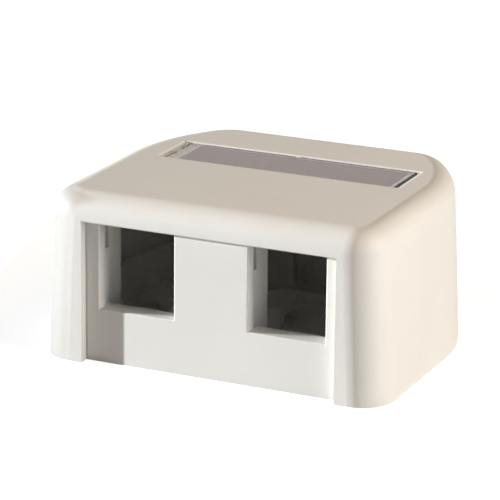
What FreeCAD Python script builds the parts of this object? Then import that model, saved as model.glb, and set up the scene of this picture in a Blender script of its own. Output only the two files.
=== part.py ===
import FreeCAD, Part
import math
import os

from FreeCAD import Vector

# Surface mount jack box with two jack openings in its front.
# X runs across the front, Y from front to back and Z up. The origin is the middle of the
# footprint, on the mounting face. Lengths are in millimetres and angles in degrees.

# ---- Cover, outside ----
cover_width = 67.5
cover_depth = 56.6
cover_height = 31.6
side_draft = 2.8            # lean of the two side walls
front_draft = 0.5
rear_draft = 0.3
flank_width = 10.0          # a slanting flank takes this much off each end of the rear wall ...
flank_length = 13.8         # ... and this much off the side wall
front_corner_r = 6.4
side_sweep_r = 37.0         # between side wall and flank, or less where the flank is too short
sweep_share = 0.99          # most that it takes of the flank beside the rear rounding
rear_corner_r = 9.0         # between flank and rear wall
top_edge_r = 4.2
cover_wall = 1.8

# ---- Cover, front cut-out ----
cutout_width = 49.6
cutout_edge_chamfer = 0.25

# ---- Cover, rear knock-out for a surface cable ----
knockout_width = 12.0
knockout_height = 8.0
knockout_web = 0.9          # wall left at the knock-out
knockout_groove = 0.3       # depth of the scored line outside
knockout_groove_width = 0.5

# ---- Label recess, window and card ----
label_length = 48.3
label_width = 11.8
label_y = 7.0               # middle of the recess
label_corner_r = 0.4
label_edge_chamfer = 0.12
label_ramp_length = 0.5     # shallow ramp for a finger-tip at the recess's right end
label_ramp_drop = 0.13
label_tub_wall = 1.2
label_floor = 1.2
window_thickness = 1.2
window_set_down = 0.15      # top of the window below the cover's top
window_end_gap = 0.7
window_front_gap = 0.15
window_rear_gap = 0.3
window_bevel_length = 0.5
window_bevel_drop = 0.35
nail_groove_width = 0.55    # finger-nail groove beside the left bevel
nail_groove_depth = 0.45
nail_groove_offset = 0.35
nail_bridge_width = 1.8     # the groove is interrupted in its middle
key_width = 0.9             # lug of the cover that keys into the window's rear edge
key_reach = 0.9             # from the recess's rear wall
key_gap = 0.1
key_x = -0.3
card_thickness = 0.25
card_left_margin = 3.0      # from the window's end to the card's
card_right_margin = 1.7
card_front_margin = 0.3
card_rear_margin = 1.0

# ---- Jack openings and the pockets behind them ----
port_width = 14.9
port_height = 16.5
port_pitch = 29.4
sill_height = 10.0
panel_thickness = 2.2
panel_side_lap = 3.0        # panel reaches this far past the cut-out on each side
port_edge_r = 0.25
pocket_step = 0.3           # pocket walls stand back from the opening's edges
pocket_wall = 1.5
pocket_length = 7.0         # behind the panel
lug_slot_width = 1.2
lug_slot_offset = 1.0       # behind the panel
lug_slot_depth = 6.0        # below the cut-out's top
ledge_length = 1.7
ledge_thickness = 1.6
web_thickness = 1.5         # web behind the panel, between the pockets
web_height = 14.0
web_length = 6.0

# ---- Base tray ----
floor_thickness = 2.0
tray_wall = 1.5
tray_height = 10.0
fit_gap = 0.25              # between the base and the cover, all round
screw_spacing = 41.0
screw_hole_r = 2.2
screw_boss_r = 4.3
screw_boss_height = 1.2
screw_y = 3.0
entry_length = 18.0         # cable entry through the floor
entry_width = 8.0
entry_flat = 0.02           # straight part left in each rounded end
entry_y = 17.5
rib_thickness = 1.2         # cross rib in front of the cable entry
rib_height = 1.6
rib_gap = 1.0
anchor_length = 9.0         # loop that a cable tie goes through
anchor_width = 5.0
anchor_height = 4.0
anchor_tunnel_width = 5.0
anchor_tunnel_height = 2.2
anchor_y = 3.0
rear_notch_gap = 0.5

# ---- Ribs inside the cover ----
grip_rib_width = 1.2        # these grip the tray's walls
grip_rib_gap = 0.05
grip_rib_pitch = 16.0
grip_rib_height = 9.0
grip_rib_y = -4.0           # middle of the pair on each side wall
hold_rib_thickness = 1.2    # these hold the jacks down in their pockets
hold_rib_length = 6.0
hold_rib_pitch = 8.0
hold_rib_offset = 2.5       # behind the panel

# ---- Foam tape in the underside ----
tape_length = 22.0
tape_width = 17.0
tape_thickness = 0.8
tape_pitch = 30.0
tape_y = -13.0
tape_gap = 0.2

# ---- Worked out from the sizes above ----
over = 1.0                  # how far a cutting solid passes the face it cuts
close = 1e-4                # places nearer than this are the same
cutout_height = sill_height + port_height
panel_top = cover_height - top_edge_r       # just below the rounding of the cover's top edge
tray_inset = cover_wall + fit_gap
panel_front_y = -cover_depth / 2 + tray_inset
panel_back_y = panel_front_y + panel_thickness
ceiling_z = cover_height - cover_wall
ceiling_chamfer = (2 - math.sqrt(2)) * (top_edge_r - cover_wall)    # keeps the wall about even
window_top = cover_height - window_set_down
window_bottom = window_top - window_thickness
recess_bottom = window_bottom - card_thickness
window_length = label_length - 2 * window_end_gap
window_width = label_width - window_front_gap - window_rear_gap
window_y = label_y + (window_front_gap - window_rear_gap) / 2
flank_turn = math.atan2(flank_width, flank_length)
flank_left = (math.hypot(flank_width, flank_length)
              - rear_corner_r * math.tan(math.pi / 4 - flank_turn / 2))
sweep_r = min(side_sweep_r, sweep_share * flank_left / math.tan(flank_turn / 2))


def box(x_low, x_high, y_low, y_high, z_low, z_high):
    return Part.makeBox(x_high - x_low, y_high - y_low, z_high - z_low, Vector(x_low, y_low, z_low))


def centred_box(x_mid, y_mid, length, width, z_low, z_high):
    return box(x_mid - length / 2, x_mid + length / 2, y_mid - width / 2, y_mid + width / 2, z_low, z_high)


def fuse(shapes):
    return shapes[0].multiFuse(shapes[1:]).removeSplitter()


def solid_of(shape):
    """The single solid that a boolean result holds."""
    solids = shape.Solids
    if len(solids) != 1:
        raise ValueError("expected one solid, found %d" % len(solids))
    return solids[0]


def plan_corners(inset, z):
    """Corners of the cover's plan at height z before rounding, all walls moved in by inset.

    They run anticlockwise from the front left. The flanks lean so that they keep their width.
    """
    side_lean = math.tan(math.radians(side_draft))
    front_lean = math.tan(math.radians(front_draft))
    rear_lean = math.tan(math.radians(rear_draft))
    flank_normal = (math.cos(flank_turn), math.sin(flank_turn))
    flank_lean = flank_normal[0] * side_lean + flank_normal[1] * rear_lean
    flank_reach = (flank_normal[0] * cover_width / 2
                   + flank_normal[1] * (cover_depth / 2 - flank_length))
    walls = [
        ((0.0, -1.0), cover_depth / 2, front_lean),
        ((1.0, 0.0), cover_width / 2, side_lean),
        (flank_normal, flank_reach, flank_lean),
        ((0.0, 1.0), cover_depth / 2, rear_lean),
        ((-flank_normal[0], flank_normal[1]), flank_reach, flank_lean),
        ((-1.0, 0.0), cover_width / 2, side_lean),
    ]
    lines = [(normal, reach - inset - z * lean) for normal, reach, lean in walls]
    corners = []
    for (normal_a, reach_a), (normal_b, reach_b) in zip(lines[-1:] + lines[:-1], lines):
        cross = normal_a[0] * normal_b[1] - normal_a[1] * normal_b[0]
        x = (reach_a * normal_b[1] - reach_b * normal_a[1]) / cross
        y = (reach_b * normal_a[0] - reach_a * normal_b[0]) / cross
        corners.append(Vector(x, y, z))
    return corners


def prism(low, high):
    """Solid with flat walls from the polygon low to the polygon high above it."""
    loops = [low[::-1], high]
    for i in range(len(low)):
        j = (i + 1) % len(low)
        loops.append([low[i], low[j], high[j], high[i]])
    return Part.makeSolid(Part.makeShell([Part.Face(Part.makePolygon(loop + loop[:1])) for loop in loops]))


def shell_block(inset, bottom, top):
    """Solid with the cover's drafted form and rounded corners, moved in by inset."""
    low = plan_corners(inset, bottom)
    high = plan_corners(inset, top)
    block = prism(low, high)
    corner_radii = (front_corner_r, front_corner_r, sweep_r, rear_corner_r, rear_corner_r, sweep_r)
    for radius in sorted(set(corner_radii)):
        feet = [foot for foot, corner_r in zip(low, corner_radii) if corner_r == radius]
        upright = [edge for edge in block.Edges
                   if any(v.Point.distanceToPoint(foot) < close for v in edge.Vertexes for foot in feet)
                   and edge.BoundBox.ZLength > (top - bottom) / 2]
        block = block.makeFillet(radius - inset, upright)
    return block


def top_rim(block, top):
    """Edges around the flat top of a block, which lies at height top."""
    return [edge for edge in block.Edges if min(v.Z for v in edge.Vertexes) > top - close]


def rounded_pocket(x_mid, y_mid, length, width, z_low, z_high, corner_r):
    """Box with its four upright edges rounded."""
    pocket = centred_box(x_mid, y_mid, length, width, z_low, z_high)
    upright = [edge for edge in pocket.Edges if abs(edge.tangentAt(edge.FirstParameter).z) > 0.9]
    return pocket.makeFillet(corner_r, upright)


def arch(width, height, y_low, y_high):
    """Arched opening along Y that is open at the bottom."""
    half = width / 2
    spring = height - half
    left = Vector(-half, y_low, spring)
    right = Vector(half, y_low, spring)
    foot_left = Vector(-half, y_low, -over)
    foot_right = Vector(half, y_low, -over)
    edges = [
        Part.makeLine(foot_right, right),
        Part.Arc(right, Vector(0, y_low, height), left).toShape(),
        Part.makeLine(left, foot_left),
        Part.makeLine(foot_left, foot_right),
    ]
    return Part.Face(Part.Wire(edges)).extrude(Vector(0, y_high - y_low, 0))


def edges_between(shape, low, high):
    """Edges that lie wholly inside the box from low to high."""
    found = []
    for edge in shape.Edges:
        bound = edge.BoundBox
        inside_x = bound.XMin > low[0] and bound.XMax < high[0]
        inside_y = bound.YMin > low[1] and bound.YMax < high[1]
        inside_z = bound.ZMin > low[2] and bound.ZMax < high[2]
        if inside_x and inside_y and inside_z:
            found.append(edge)
    return found


def grip_ribs():
    """Upright ribs on the side walls that close the gap to the tray all but grip_rib_gap."""
    ring = shell_block(cover_wall / 2, 0, tray_height)
    ring = ring.cut(shell_block(tray_inset - grip_rib_gap, -over, tray_height + over))
    strips = []
    for offset in (-grip_rib_pitch / 2, grip_rib_pitch / 2):
        y_mid = grip_rib_y + offset
        strips.append(centred_box(0, y_mid, cover_width, grip_rib_width, floor_thickness, grip_rib_height))
    return ring.common(fuse(strips))


def hold_ribs():
    """Pairs of ribs that hang from the cover's ceiling over each jack pocket."""
    y_low = panel_back_y + hold_rib_offset
    ribs = []
    for side in (-1, 1):
        for offset in (-hold_rib_pitch / 2, hold_rib_pitch / 2):
            x_mid = side * port_pitch / 2 + offset
            ribs.append(box(x_mid - hold_rib_thickness / 2, x_mid + hold_rib_thickness / 2,
                            y_low, y_low + hold_rib_length, cutout_height, ceiling_z + cover_wall / 2))
    return ribs


def label_tub():
    """Thick place under the top that the label recess is sunk into."""
    length = label_length + 2 * label_tub_wall
    width = label_width + 2 * label_tub_wall
    return centred_box(0, label_y, length, width, recess_bottom - label_floor, ceiling_z + cover_wall / 2)


def knockout_cuts():
    """Pocket inside the rear wall and the scored line outside it."""
    rear_y = cover_depth / 2
    half_lean = cover_height * math.tan(math.radians(rear_draft))
    pocket = arch(knockout_width, knockout_height, rear_y - cover_wall - over, rear_y - knockout_web)
    groove = arch(knockout_width + 2 * knockout_groove_width, knockout_height + knockout_groove_width,
                  rear_y - knockout_groove, rear_y + over)
    groove = groove.cut(arch(knockout_width, knockout_height, rear_y - knockout_groove - half_lean,
                             rear_y + 2 * over))
    return [pocket, groove]


def lintel_wedge():
    """Wedge that chamfers the front edge of the cut-out's top."""
    x_low = -cutout_width / 2
    face_y = -cover_depth / 2 + cutout_height * math.tan(math.radians(front_draft))
    profile = [
        Vector(x_low, face_y + cutout_edge_chamfer, cutout_height),
        Vector(x_low, face_y - over, cutout_height + cutout_edge_chamfer + over),
        Vector(x_low, face_y - over, cutout_height - over),
        Vector(x_low, face_y + cutout_edge_chamfer, cutout_height - over),
    ]
    return Part.Face(Part.makePolygon(profile + profile[:1])).extrude(Vector(cutout_width, 0, 0))


def label_ramp():
    """Wedge that slopes the right end of the recess's rim."""
    y_low = label_y - label_width / 2
    x_end = label_length / 2
    rise = label_ramp_drop / label_ramp_length
    profile = [
        Vector(x_end - over, y_low, cover_height - label_ramp_drop - rise * over),
        Vector(x_end + label_ramp_length + over, y_low, cover_height + rise * over),
        Vector(x_end - over, y_low, cover_height + rise * over),
    ]
    return Part.Face(Part.makePolygon(profile + profile[:1])).extrude(Vector(0, label_width, 0))


def window_key(gap):
    """Upright lug on the recess's rear wall, made larger by gap where the window clears it."""
    rear_y = label_y + label_width / 2
    half = key_width / 2 + gap
    return box(key_x - half, key_x + half, rear_y - key_reach - gap, rear_y + over,
               recess_bottom - label_floor / 2, window_top + gap)


def make_cover():
    outer = shell_block(0, 0, cover_height)
    outer = outer.makeFillet(top_edge_r, top_rim(outer, cover_height))
    inner = shell_block(cover_wall, -over, ceiling_z)
    inner = inner.makeChamfer(ceiling_chamfer, top_rim(inner, ceiling_z))
    shell = outer.cut(inner)
    shell = fuse([shell, label_tub(), grip_ribs()] + hold_ribs())
    front_y = -cover_depth / 2
    cutout = box(-cutout_width / 2, cutout_width / 2, front_y - over, panel_front_y, -over, cutout_height)
    recess = rounded_pocket(0, label_y, label_length, label_width, recess_bottom, cover_height + over,
                            label_corner_r)
    shell = shell.cut(fuse([cutout, lintel_wedge(), recess] + knockout_cuts()))
    rim = edges_between(shell, (-label_length, label_y - label_width, cover_height - close),
                        (label_length, label_y + label_width, cover_height + close))
    inner_rim = [e for e in rim if abs(e.CenterOfMass.x) < label_length / 2 + close
                 and abs(e.CenterOfMass.y - label_y) < label_width / 2 + close]
    shell = shell.makeChamfer(label_edge_chamfer, inner_rim).cut(label_ramp())
    return solid_of(fuse([shell, window_key(0)]))


def make_label_card():
    half_length = window_length / 2
    half_width = window_width / 2
    return box(card_left_margin - half_length, half_length - card_right_margin,
               window_y - half_width + card_front_margin, window_y + half_width - card_rear_margin,
               recess_bottom, window_bottom)


def make_label_window():
    half = window_length / 2
    y_low = window_y - window_width / 2
    y_high = window_y + window_width / 2
    profile = [
        Vector(-half, y_low, window_bottom),
        Vector(half, y_low, window_bottom),
        Vector(half, y_low, window_top - window_bevel_drop),
        Vector(half - window_bevel_length, y_low, window_top),
        Vector(-half + window_bevel_length, y_low, window_top),
        Vector(-half, y_low, window_top - window_bevel_drop),
    ]
    strip = Part.Face(Part.makePolygon(profile + profile[:1])).extrude(Vector(0, window_width, 0))
    groove_x = -half + window_bevel_length + nail_groove_offset + nail_groove_width / 2
    groove_bottom = window_top - nail_groove_depth
    groove = centred_box(groove_x, window_y, nail_groove_width, window_width + 2 * over,
                         groove_bottom, window_top + over)
    bridge = centred_box(groove_x, window_y, 2 * nail_groove_width, nail_bridge_width,
                         groove_bottom - over, window_top + 2 * over)
    return solid_of(strip.cut(fuse([groove.cut(bridge), window_key(key_gap)])))


def pocket_walls():
    """The two upright walls behind each jack opening, each with a slot for the jack's lug."""
    inner = port_width / 2 + pocket_step
    slot_y = panel_back_y + lug_slot_offset
    slot_bottom = cutout_height - lug_slot_depth
    walls = []
    for port in (-1, 1):
        for side in (-1, 1):
            near = port * port_pitch / 2 + side * inner
            far = near + side * pocket_wall
            wall = box(min(near, far), max(near, far), panel_back_y - panel_thickness / 2,
                       panel_back_y + pocket_length, floor_thickness / 2, panel_top)
            slot = box(min(near, far) - over, max(near, far) + over, slot_y, slot_y + lug_slot_width,
                       slot_bottom, panel_top + over)
            walls.append(wall.cut(slot))
    return walls


def sill_ledges():
    """Ledge behind each sill, carried by the pocket's two walls."""
    half = port_width / 2 + pocket_step + pocket_wall / 2
    ledges = []
    for port in (-1, 1):
        x_mid = port * port_pitch / 2
        ledges.append(box(x_mid - half, x_mid + half, panel_back_y - panel_thickness / 2,
                          panel_back_y + ledge_length, sill_height - ledge_thickness, sill_height))
    return ledges


def centre_web():
    """Sloping web that stiffens the panel between the two pockets."""
    x_low = -web_thickness / 2
    root = panel_back_y - panel_thickness / 2
    profile = [
        Vector(x_low, root, floor_thickness / 2),
        Vector(x_low, panel_back_y + web_length, floor_thickness / 2),
        Vector(x_low, panel_back_y, web_height),
        Vector(x_low, root, web_height),
    ]
    return Part.Face(Part.makePolygon(profile + profile[:1])).extrude(Vector(web_thickness, 0, 0))


def cable_anchor():
    """Low loop on the floor for a cable tie."""
    loop = centred_box(0, anchor_y, anchor_width, anchor_length, floor_thickness / 2,
                       floor_thickness + anchor_height)
    tunnel = centred_box(0, anchor_y, anchor_width + 2 * over, anchor_tunnel_width, floor_thickness,
                         floor_thickness + anchor_tunnel_height)
    return loop.cut(tunnel)


def make_base():
    half_depth = cover_depth / 2
    panel_half = cutout_width / 2 + panel_side_lap
    panel_zone = box(-panel_half, panel_half, -half_depth, panel_back_y, 0, cover_height)
    above_tray = box(-cover_width, cover_width, -half_depth, half_depth, tray_height, cover_height)
    hollow = shell_block(tray_inset + tray_wall, floor_thickness, cover_height)
    tray = shell_block(tray_inset, 0, panel_top).cut([above_tray.cut(panel_zone), hollow.cut(panel_zone)])
    y_rib = entry_y - entry_width / 2 - rib_gap - rib_thickness / 2
    rib = centred_box(0, y_rib, cover_width, rib_thickness, floor_thickness / 2,
                      floor_thickness + rib_height)
    rib = rib.common(shell_block(tray_inset + tray_wall / 2, 0, tray_height))
    bosses = [Part.makeCylinder(screw_boss_r, floor_thickness / 2 + screw_boss_height,
                                Vector(side * screw_spacing / 2, screw_y, floor_thickness / 2))
              for side in (-1, 1)]
    base = fuse([tray, rib, centre_web(), cable_anchor()] + pocket_walls() + sill_ledges() + bosses)
    cuts = []
    for side in (-1, 1):
        x_port = side * port_pitch / 2
        cuts.append(box(x_port - port_width / 2, x_port + port_width / 2, -half_depth, panel_back_y,
                        sill_height, panel_top + over))
        cuts.append(Part.makeCylinder(screw_hole_r, floor_thickness + screw_boss_height + 2 * over,
                                      Vector(side * screw_spacing / 2, screw_y, -over)))
        cuts.append(centred_box(side * tape_pitch / 2, tape_y, tape_length + 2 * tape_gap,
                                tape_width + 2 * tape_gap, -over, tape_thickness))
    cuts.append(rounded_pocket(0, entry_y, entry_length, entry_width, -over, floor_thickness + over,
                               (entry_width - entry_flat) / 2))
    cuts.append(box(-knockout_width / 2 - rear_notch_gap, knockout_width / 2 + rear_notch_gap,
                    half_depth - tray_inset - tray_wall - over, half_depth, floor_thickness,
                    tray_height + over))
    base = base.cut(fuse(cuts))
    rims = edges_between(base, (-cutout_width / 2, panel_front_y - over, sill_height - over),
                         (cutout_width / 2, panel_front_y + panel_thickness / 2, panel_top + over))
    rims = [edge for edge in rims if edge.BoundBox.ZMin < cutout_height]
    return solid_of(base.makeFillet(port_edge_r, rims))


def make_tape_pad(side):
    return centred_box(side * tape_pitch / 2, tape_y, tape_length, tape_width, 0, tape_thickness)


PARTS = {
    "base": make_base,
    "cover": make_cover,
    "label_window": make_label_window,
    "label_card": make_label_card,
    "tape_pad_left": lambda: make_tape_pad(-1),
    "tape_pad_right": lambda: make_tape_pad(1),
}


def main():
    os.makedirs("parts", exist_ok=True)
    for name, make in PARTS.items():
        shape = make()
        shape.exportStep("parts/%s.step" % name)
        bound = shape.BoundBox
        print("%-16s valid %s  volume %9.1f  x %.2f %.2f  y %.2f %.2f  z %.2f %.2f" % (
            name, shape.isValid(), shape.Volume, bound.XMin, bound.XMax, bound.YMin, bound.YMax,
            bound.ZMin, bound.ZMax))


main()
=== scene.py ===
import math

import bpy
from mathutils import Matrix, Vector


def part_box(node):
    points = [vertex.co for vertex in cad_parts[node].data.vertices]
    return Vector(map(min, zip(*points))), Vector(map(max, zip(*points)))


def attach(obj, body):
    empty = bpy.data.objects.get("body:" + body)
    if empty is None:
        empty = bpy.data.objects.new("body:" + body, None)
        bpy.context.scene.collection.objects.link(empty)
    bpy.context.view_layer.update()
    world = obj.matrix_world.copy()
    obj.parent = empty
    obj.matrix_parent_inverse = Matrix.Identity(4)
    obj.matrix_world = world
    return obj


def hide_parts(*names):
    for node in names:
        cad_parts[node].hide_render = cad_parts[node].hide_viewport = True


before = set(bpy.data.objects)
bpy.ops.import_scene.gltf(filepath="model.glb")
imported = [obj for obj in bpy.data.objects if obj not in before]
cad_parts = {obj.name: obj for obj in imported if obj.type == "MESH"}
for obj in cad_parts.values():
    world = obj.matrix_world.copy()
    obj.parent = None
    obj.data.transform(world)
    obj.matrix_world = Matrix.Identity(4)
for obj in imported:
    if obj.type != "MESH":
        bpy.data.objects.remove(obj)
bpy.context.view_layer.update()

# Looks of a surface mount jack box: moulded ivory plastic, a clear label window over a card,
# foam tape underneath, a white floor and studio light. Lengths are in metres.

MM = 0.001

# ---- Camera ----
camera_azimuth = 24.69      # degrees to the right of straight in front
camera_elevation = 17.46
camera_roll = 0.46
camera_distance = 525.6 * MM
camera_aim = Vector((-0.575, -8.3, 19.07)) * MM
camera_focal_mm = 208.2
camera_sensor_mm = 36.0
camera_sees_from = 0.01
camera_sees_to = 20.0

# ---- Light ----
room_shine = 0.6            # how bright the white room is in reflections and through the window
key_azimuth = -75.0         # seen from where the cover's front meets its left rounding
key_elevation = 8.0
key_distance = 1.3
key_radius = 13.6 * MM      # small, so its shadows are nearly sharp
key_power = 166.0
key_tint = (0.944, 0.975, 1.0)
lamp_distance = 0.55        # of the two area lamps, from the middle of the box
lamp_aim = Vector((0, 0, 15 * MM))
side_lamp = {"azimuth": 83, "elevation": 12, "size": 0.25, "power": 1.95, "tint": (0.933, 0.970, 1.0)}
warm_lamp = {"azimuth": 88, "elevation": 49, "size": 0.30, "power": 1.33, "tint": (1.0, 0.745, 0.48)}

# ---- Net between the key and the cover's left wall ----
scrim_distance = 25 * MM
scrim_width = 90 * MM
scrim_height = 80 * MM
scrim_over = 0.5 * MM       # its top edge above the ray to the cover's top
# Share of the key that is let through, against mm from the net's front edge.
scrim_pass = ((0.0, 1.0), (0.4, 0.67), (0.95, 0.56), (1.7, 0.48), (3.5, 0.40), (6.5, 0.36))
scrim_fade = 5 * MM         # along its top the net thins out over this height
scrim_top_share = 0.36      # of the light that the net holds back, let through at its top
rounding_left = -27.35 * MM     # where the cover's front face meets its left rounding

# ---- Label card, as a sheet of its own that lies just clear of the window ----
card_drop = 0.05 * MM       # its top below the window's underside
card_reach = 0.15 * MM      # its rear edge to the window's rear edge
card_notch_x = -0.3 * MM    # notch for the cover's lug
card_notch_half = 0.6 * MM
card_notch_depth = 0.55 * MM

# ---- Label window, as a mesh with finer ends than the solid ----
window_bevel = 0.16 * MM    # at the two ends
window_edge_r = 0.05 * MM
window_sharp = 35.0         # edges that turn by more degrees than this are rounded
groove_x = (-22.60 * MM, -22.05 * MM)
groove_depth = 0.45 * MM
bridge_half = 0.9 * MM      # the groove is interrupted in its middle
lug_notch_x = (-0.85 * MM, 0.25 * MM)
lug_notch_depth = 0.7 * MM

# ---- Floor ----
floor_half = 1.5
floor_drop = 0.05 * MM      # below the box's mounting face
floor_glow = 0.75
white = (1.0, 1.0, 1.0, 1.0)


def direction(azimuth, elevation):
    """Unit vector towards a place seen at that azimuth, right of the front, and elevation."""
    a, e = math.radians(azimuth), math.radians(elevation)
    return Vector((math.sin(a) * math.cos(e), -math.cos(a) * math.cos(e), math.sin(e)))


def link(o):
    bpy.context.scene.collection.objects.link(o)
    return o


def solid(name, points, faces, material):
    mesh = bpy.data.meshes.new(name)
    mesh.from_pydata(points, [], faces)
    mesh.materials.append(material)
    return link(bpy.data.objects.new(name, mesh))


# ---------------------------------------------------------------- camera
def make_camera():
    data = bpy.data.cameras.new("camera")
    data.lens = camera_focal_mm
    data.sensor_width = camera_sensor_mm
    data.clip_start = camera_sees_from
    data.clip_end = camera_sees_to
    camera = link(bpy.data.objects.new("camera", data))
    back = direction(camera_azimuth, camera_elevation)
    right = Vector((math.cos(math.radians(camera_azimuth)), math.sin(math.radians(camera_azimuth)), 0))
    up = back.cross(right)
    turn = math.radians(camera_roll)
    rolled_right = right * math.cos(turn) + up * math.sin(turn)
    rolled_up = up * math.cos(turn) - right * math.sin(turn)
    axes = Matrix((rolled_right, rolled_up, back)).transposed()
    camera.matrix_world = Matrix.Translation(camera_aim + back * camera_distance) @ axes.to_4x4()
    bpy.context.scene.camera = camera


# ---------------------------------------------------------------- material helpers
class Nodes:
    """Small helper that builds a node tree with short calls."""

    def __init__(self, owner):
        owner.use_nodes = True
        self.material = owner
        self.tree = owner.node_tree
        self.shader = self.tree.nodes.get("Principled BSDF")

    def add(self, kind, inputs=None, **settings):
        node = self.tree.nodes.new(kind)
        for key, value in settings.items():
            setattr(node, key, value)
        for key, value in (inputs or {}).items():
            self.feed(node, key, value)
        return node

    def feed(self, node, key, value):
        if isinstance(value, bpy.types.NodeSocket):
            self.tree.links.new(value, node.inputs[key])
        else:
            node.inputs[key].default_value = value

    def place(self):
        return self.add("ShaderNodeTexCoord").outputs["Object"]

    def noise(self, scale, detail=2.0, roughness=0.5):
        node = self.add("ShaderNodeTexNoise", {"Scale": scale, "Detail": detail, "Roughness": roughness,
                                               "Vector": self.place()})
        return node.outputs["Fac"]

    def math(self, operation, a, b):
        return self.add("ShaderNodeMath", {0: a, 1: b}, operation=operation).outputs[0]

    def spread(self, value, low, high, from_low=0.0, from_high=1.0):
        node = self.add("ShaderNodeMapRange", {"Value": value, "From Min": from_low, "From Max": from_high,
                                               "To Min": low, "To Max": high})
        return node.outputs["Result"]

    def mix(self, factor, a, b):
        """Blend of two colours; the colour sockets of a Mix node are inputs 6 and 7 and output 2."""
        return self.add("ShaderNodeMix", {0: factor, 6: a, 7: b}, data_type="RGBA").outputs[2]

    def bump(self, height, strength, distance, normal=None):
        node = self.add("ShaderNodeBump", {"Height": height, "Strength": strength, "Distance": distance})
        if normal:
            self.feed(node, "Normal", normal)
        return node.outputs["Normal"]


def ivory_plastic(name, light, dark):
    """Moulded plastic: a fine spark-eroded grain, faint flow clouds and a soft satin gloss."""
    n = Nodes(bpy.data.materials.new(name))
    clouds = n.noise(55.0, 3.0, 0.6)
    grain = n.noise(2600.0, 2.0, 0.6)
    fine = n.noise(6500.0, 2.0, 0.5)
    n.feed(n.shader, "Base Color", n.mix(n.spread(clouds, 0.0, 1.0, 0.35, 0.65), dark, light))
    n.feed(n.shader, "Roughness", n.spread(grain, 0.50, 0.62, 0.3, 0.7))
    n.feed(n.shader, "IOR", 1.5)
    n.feed(n.shader, "Normal", n.bump(fine, 0.25, 0.03 * MM, n.bump(grain, 0.30, 0.06 * MM)))
    return n.material


def clear_plastic(name):
    n = Nodes(bpy.data.materials.new(name))
    waves = n.noise(120.0, 1.0)
    scuffs = n.noise(900.0, 3.0, 0.7)
    n.feed(n.shader, "Base Color", (0.90, 0.885, 0.885, 1.0))
    n.feed(n.shader, "Transmission Weight", 1.0)
    n.feed(n.shader, "IOR", 1.45)
    n.feed(n.shader, "Roughness", n.spread(scuffs, 0.03, 0.12, 0.4, 0.7))
    n.feed(n.shader, "Normal", n.bump(waves, 0.10, 0.05 * MM))
    return n.material


def card_painted_shade(name):
    n = Nodes(bpy.data.materials.new(name))
    fibres = n.noise(1500.0, 4.0, 0.7)
    mottle = n.noise(90.0, 3.0)
    tone = n.math("ADD", n.spread(fibres, -0.15, 0.15), n.spread(mottle, 0.2, 0.8))
    # The card's dark reddish brown is painted shade: it stands for the shaded label pocket seen through the
    # window.
    n.feed(n.shader, "Base Color", n.mix(tone, (0.26, 0.17, 0.14, 1.0), (0.30, 0.20, 0.17, 1.0)))
    n.feed(n.shader, "Roughness", 0.85)
    n.feed(n.shader, "Normal", n.bump(fibres, 0.3, 0.03 * MM))
    return n.material


def foam_tape(name):
    """Tape under its waxed paper liner."""
    n = Nodes(bpy.data.materials.new(name))
    creases = n.noise(160.0, 5.0, 0.75)
    fibres = n.noise(1800.0, 3.0, 0.6)
    n.feed(n.shader, "Base Color", n.mix(creases, (0.78, 0.74, 0.62, 1.0), (0.86, 0.83, 0.74, 1.0)))
    n.feed(n.shader, "Roughness", n.spread(fibres, 0.35, 0.6))
    n.feed(n.shader, "Normal", n.bump(creases, 0.4, 0.15 * MM))
    return n.material


# ---------------------------------------------------------------- stage and light
def sheet(name, corners, material):
    """Flat quad."""
    return solid(name, corners, [(0, 1, 2, 3)], material)


def white_room(n):
    """1 for camera rays, room_shine for mirror and glass rays and 0 for light that a surface scatters."""
    path = n.add("ShaderNodeLightPath")
    mirrored = n.math("MAXIMUM", path.outputs["Is Glossy Ray"], path.outputs["Is Transmission Ray"])
    return n.math("MAXIMUM", path.outputs["Is Camera Ray"], n.math("MULTIPLY", mirrored, room_shine))


def make_floor():
    n = Nodes(bpy.data.materials.new("white_floor"))
    n.feed(n.shader, "Base Color", (0.62, 0.617, 0.61, 1.0))
    n.feed(n.shader, "Roughness", 0.9)
    n.feed(n.shader, "Emission Color", white)
    n.feed(n.shader, "Emission Strength", n.math("MULTIPLY", white_room(n), floor_glow))
    h = floor_half
    floor = sheet("floor", [(-h, -h, 0), (h, -h, 0), (h, h, 0), (-h, h, 0)], n.material)
    floor.location.z = -floor_drop


def make_world():
    world = bpy.data.worlds.new("white_room")
    bpy.context.scene.world = world
    n = Nodes(world)
    n.feed(n.tree.nodes["Background"], "Color", white)
    n.feed(n.tree.nodes["Background"], "Strength", white_room(n))


def area_lamp(name, azimuth, elevation, size, power, tint):
    """Square soft lamp that faces the middle of the box."""
    data = bpy.data.lights.new(name, "AREA")
    data.size = size
    data.energy = power
    data.color = tint
    lamp = link(bpy.data.objects.new(name, data))
    away = direction(azimuth, elevation)
    lamp.location = lamp_aim + away * lamp_distance
    lamp.rotation_euler = away.to_track_quat("Z", "Y").to_euler()
    lamp.visible_camera = False


def net_material():
    """Clear film that darkens from the net's front edge backwards and thins out along its top."""
    n = Nodes(bpy.data.materials.new("scrim"))
    reach = scrim_pass[-1][0]
    spot = n.add("ShaderNodeSeparateXYZ", {0: n.place()})
    ramp = n.add("ShaderNodeValToRGB", {"Fac": n.spread(spot.outputs["X"], 0.0, 1.0, 0.0, reach * MM)})
    stops = ramp.color_ramp.elements
    for stop, (distance, share) in zip(stops, (scrim_pass[0], scrim_pass[-1])):
        stop.color = (share, share, share, 1.0)
    for distance, share in scrim_pass[1:-1]:
        stops.new(distance / reach).color = (share, share, share, 1.0)
    thinned = n.spread(spot.outputs["Y"], 0.0, scrim_top_share, -scrim_fade, 0.0)
    net = n.add("ShaderNodeBsdfTransparent", {"Color": n.mix(thinned, ramp.outputs["Color"], white)})
    n.feed(n.tree.nodes["Material Output"], "Surface", net.outputs[0])
    return n.material


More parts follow.
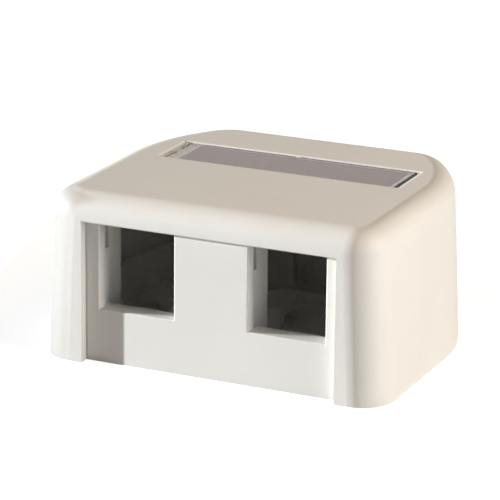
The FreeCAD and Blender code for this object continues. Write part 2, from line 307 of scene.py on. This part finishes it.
def make_key():
    """Small key lamp, with a net in front of the cover's left wall so that it isn't too bright."""
    low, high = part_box("cover")
    away = direction(key_azimuth, key_elevation)
    data = bpy.data.lights.new("key", "POINT")
    data.energy = key_power
    data.shadow_soft_size = key_radius
    data.color = key_tint
    lamp = link(bpy.data.objects.new("key", data))
    lamp.location = Vector((rounding_left, low.y, (low.z + high.z) / 2)) + away * key_distance

    # The net's front edge lies on the rays to the start of the left rounding, and its top edge a
    # little above the ray to the top of the cover's front left corner.
    back = Vector((-abs(away.y), abs(away.x), 0)).normalized()
    up = back.cross(away)
    foot = Vector((rounding_left, low.y, 0)) + away * scrim_distance
    top = Vector((low.x, low.y, high.z + scrim_over)) + away * scrim_distance
    foot += up * (top - foot).dot(up)
    corners = [(0, 0, 0), (scrim_width, 0, 0), (scrim_width, -scrim_height, 0), (0, -scrim_height, 0)]
    scrim = sheet("scrim", corners, net_material())
    scrim.matrix_world = Matrix.Translation(foot) @ Matrix((back, up, back.cross(up))).transposed().to_4x4()
    scrim.visible_camera = False
    scrim.visible_diffuse = False
    scrim.visible_glossy = False
    scrim.visible_transmission = False
    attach(scrim, "cover")     # a raised cover is lit as it is at rest


def make_lights():
    make_key()
    area_lamp("side", **side_lamp)
    area_lamp("warm_top", **warm_lamp)


# ---------------------------------------------------------------- label card
def make_card(material):
    """Card that reaches nearly to the window's rear edge, with a notch for the cover's lug."""
    low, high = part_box("label_card")
    window_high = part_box("label_window")[1]
    rear = window_high.y - card_reach
    outline = [
        (low.x, low.y), (high.x, low.y), (high.x, rear), (card_notch_x + card_notch_half, rear),
        (card_notch_x + card_notch_half, rear - card_notch_depth),
        (card_notch_x - card_notch_half, rear - card_notch_depth),
        (card_notch_x - card_notch_half, rear), (low.x, rear),
    ]
    count = len(outline)
    points = [(x, y, z) for z in (low.z, high.z - card_drop) for x, y in outline]
    faces = [tuple(reversed(range(count))), tuple(range(count, 2 * count))]
    faces += [(i, (i + 1) % count, count + (i + 1) % count, count + i) for i in range(count)]
    card = solid("card_sheet", points, faces, material)
    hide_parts("label_card")
    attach(card, "cover")


# ---------------------------------------------------------------- label window
def make_window(material):
    """Clear strip with bevelled ends, an interrupted finger-nail groove and a notch for the lug."""
    low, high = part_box("label_window")
    middle = (low.y + high.y) / 2
    xs = [low.x, low.x + window_bevel, *groove_x, *lug_notch_x, high.x - window_bevel, high.x]
    ys = [low.y, middle - bridge_half, middle + bridge_half, high.y - lug_notch_depth, high.y]
    levels = [low.z, high.z - groove_depth, high.z]
    groove_column, bridge_row = xs.index(groove_x[0]), 1
    notch_cell = (xs.index(lug_notch_x[0]), len(ys) - 2)

    def top(i, j):
        """Level of the cell's top: 0 in the notch and outside, 1 in the groove and 2 elsewhere."""
        inside = 0 <= i < len(xs) - 1 and 0 <= j < len(ys) - 1
        if not inside or (i, j) == notch_cell:
            return 0
        return 1 if i == groove_column and j != bridge_row else 2

    points, faces = {}, []

    def corner(i, j, level):
        drop = window_bevel if level and i in (0, len(xs) - 1) else 0.0
        return points.setdefault((xs[i], ys[j], levels[level] - drop), len(points))

    for i in range(len(xs) - 1):
        for j in range(len(ys) - 1):
            if not top(i, j):
                continue
            loop = [(i, j), (i + 1, j), (i + 1, j + 1), (i, j + 1)]
            faces.append([corner(*c, top(i, j)) for c in loop])
            faces.append([corner(*c, 0) for c in reversed(loop)])
            beside = (i, j - 1), (i + 1, j), (i, j + 1), (i - 1, j)
            for a, b, neighbour in zip(loop, loop[1:] + loop[:1], beside):
                for level in range(top(*neighbour), top(i, j)):
                    faces.append([corner(*b, level + 1), corner(*a, level + 1), corner(*a, level),
                                  corner(*b, level)])
    window = solid("window_strip", list(points), faces, material)
    bevel = window.modifiers.new("soft_edges", "BEVEL")
    bevel.width = window_edge_r
    bevel.segments = 2
    bevel.limit_method = "ANGLE"
    bevel.angle_limit = math.radians(window_sharp)
    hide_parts("label_window")
    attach(window, "window")


# ---------------------------------------------------------------- build
def dress(node, material):
    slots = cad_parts[node].data.materials
    slots.clear()
    slots.append(material)


make_camera()
make_world()
make_floor()
make_lights()
ivory = ivory_plastic("ivory_plastic", (0.80, 0.785, 0.75, 1.0), (0.775, 0.758, 0.72, 1.0))
dress("base", ivory)
dress("cover", ivory)
make_window(clear_plastic("clear_plastic"))
make_card(card_painted_shade("card_painted_shade"))
for side in ("left", "right"):
    dress("tape_pad_" + side, foam_tape("foam_tape_" + side))

bpy.context.scene.view_settings.view_transform = "Standard"
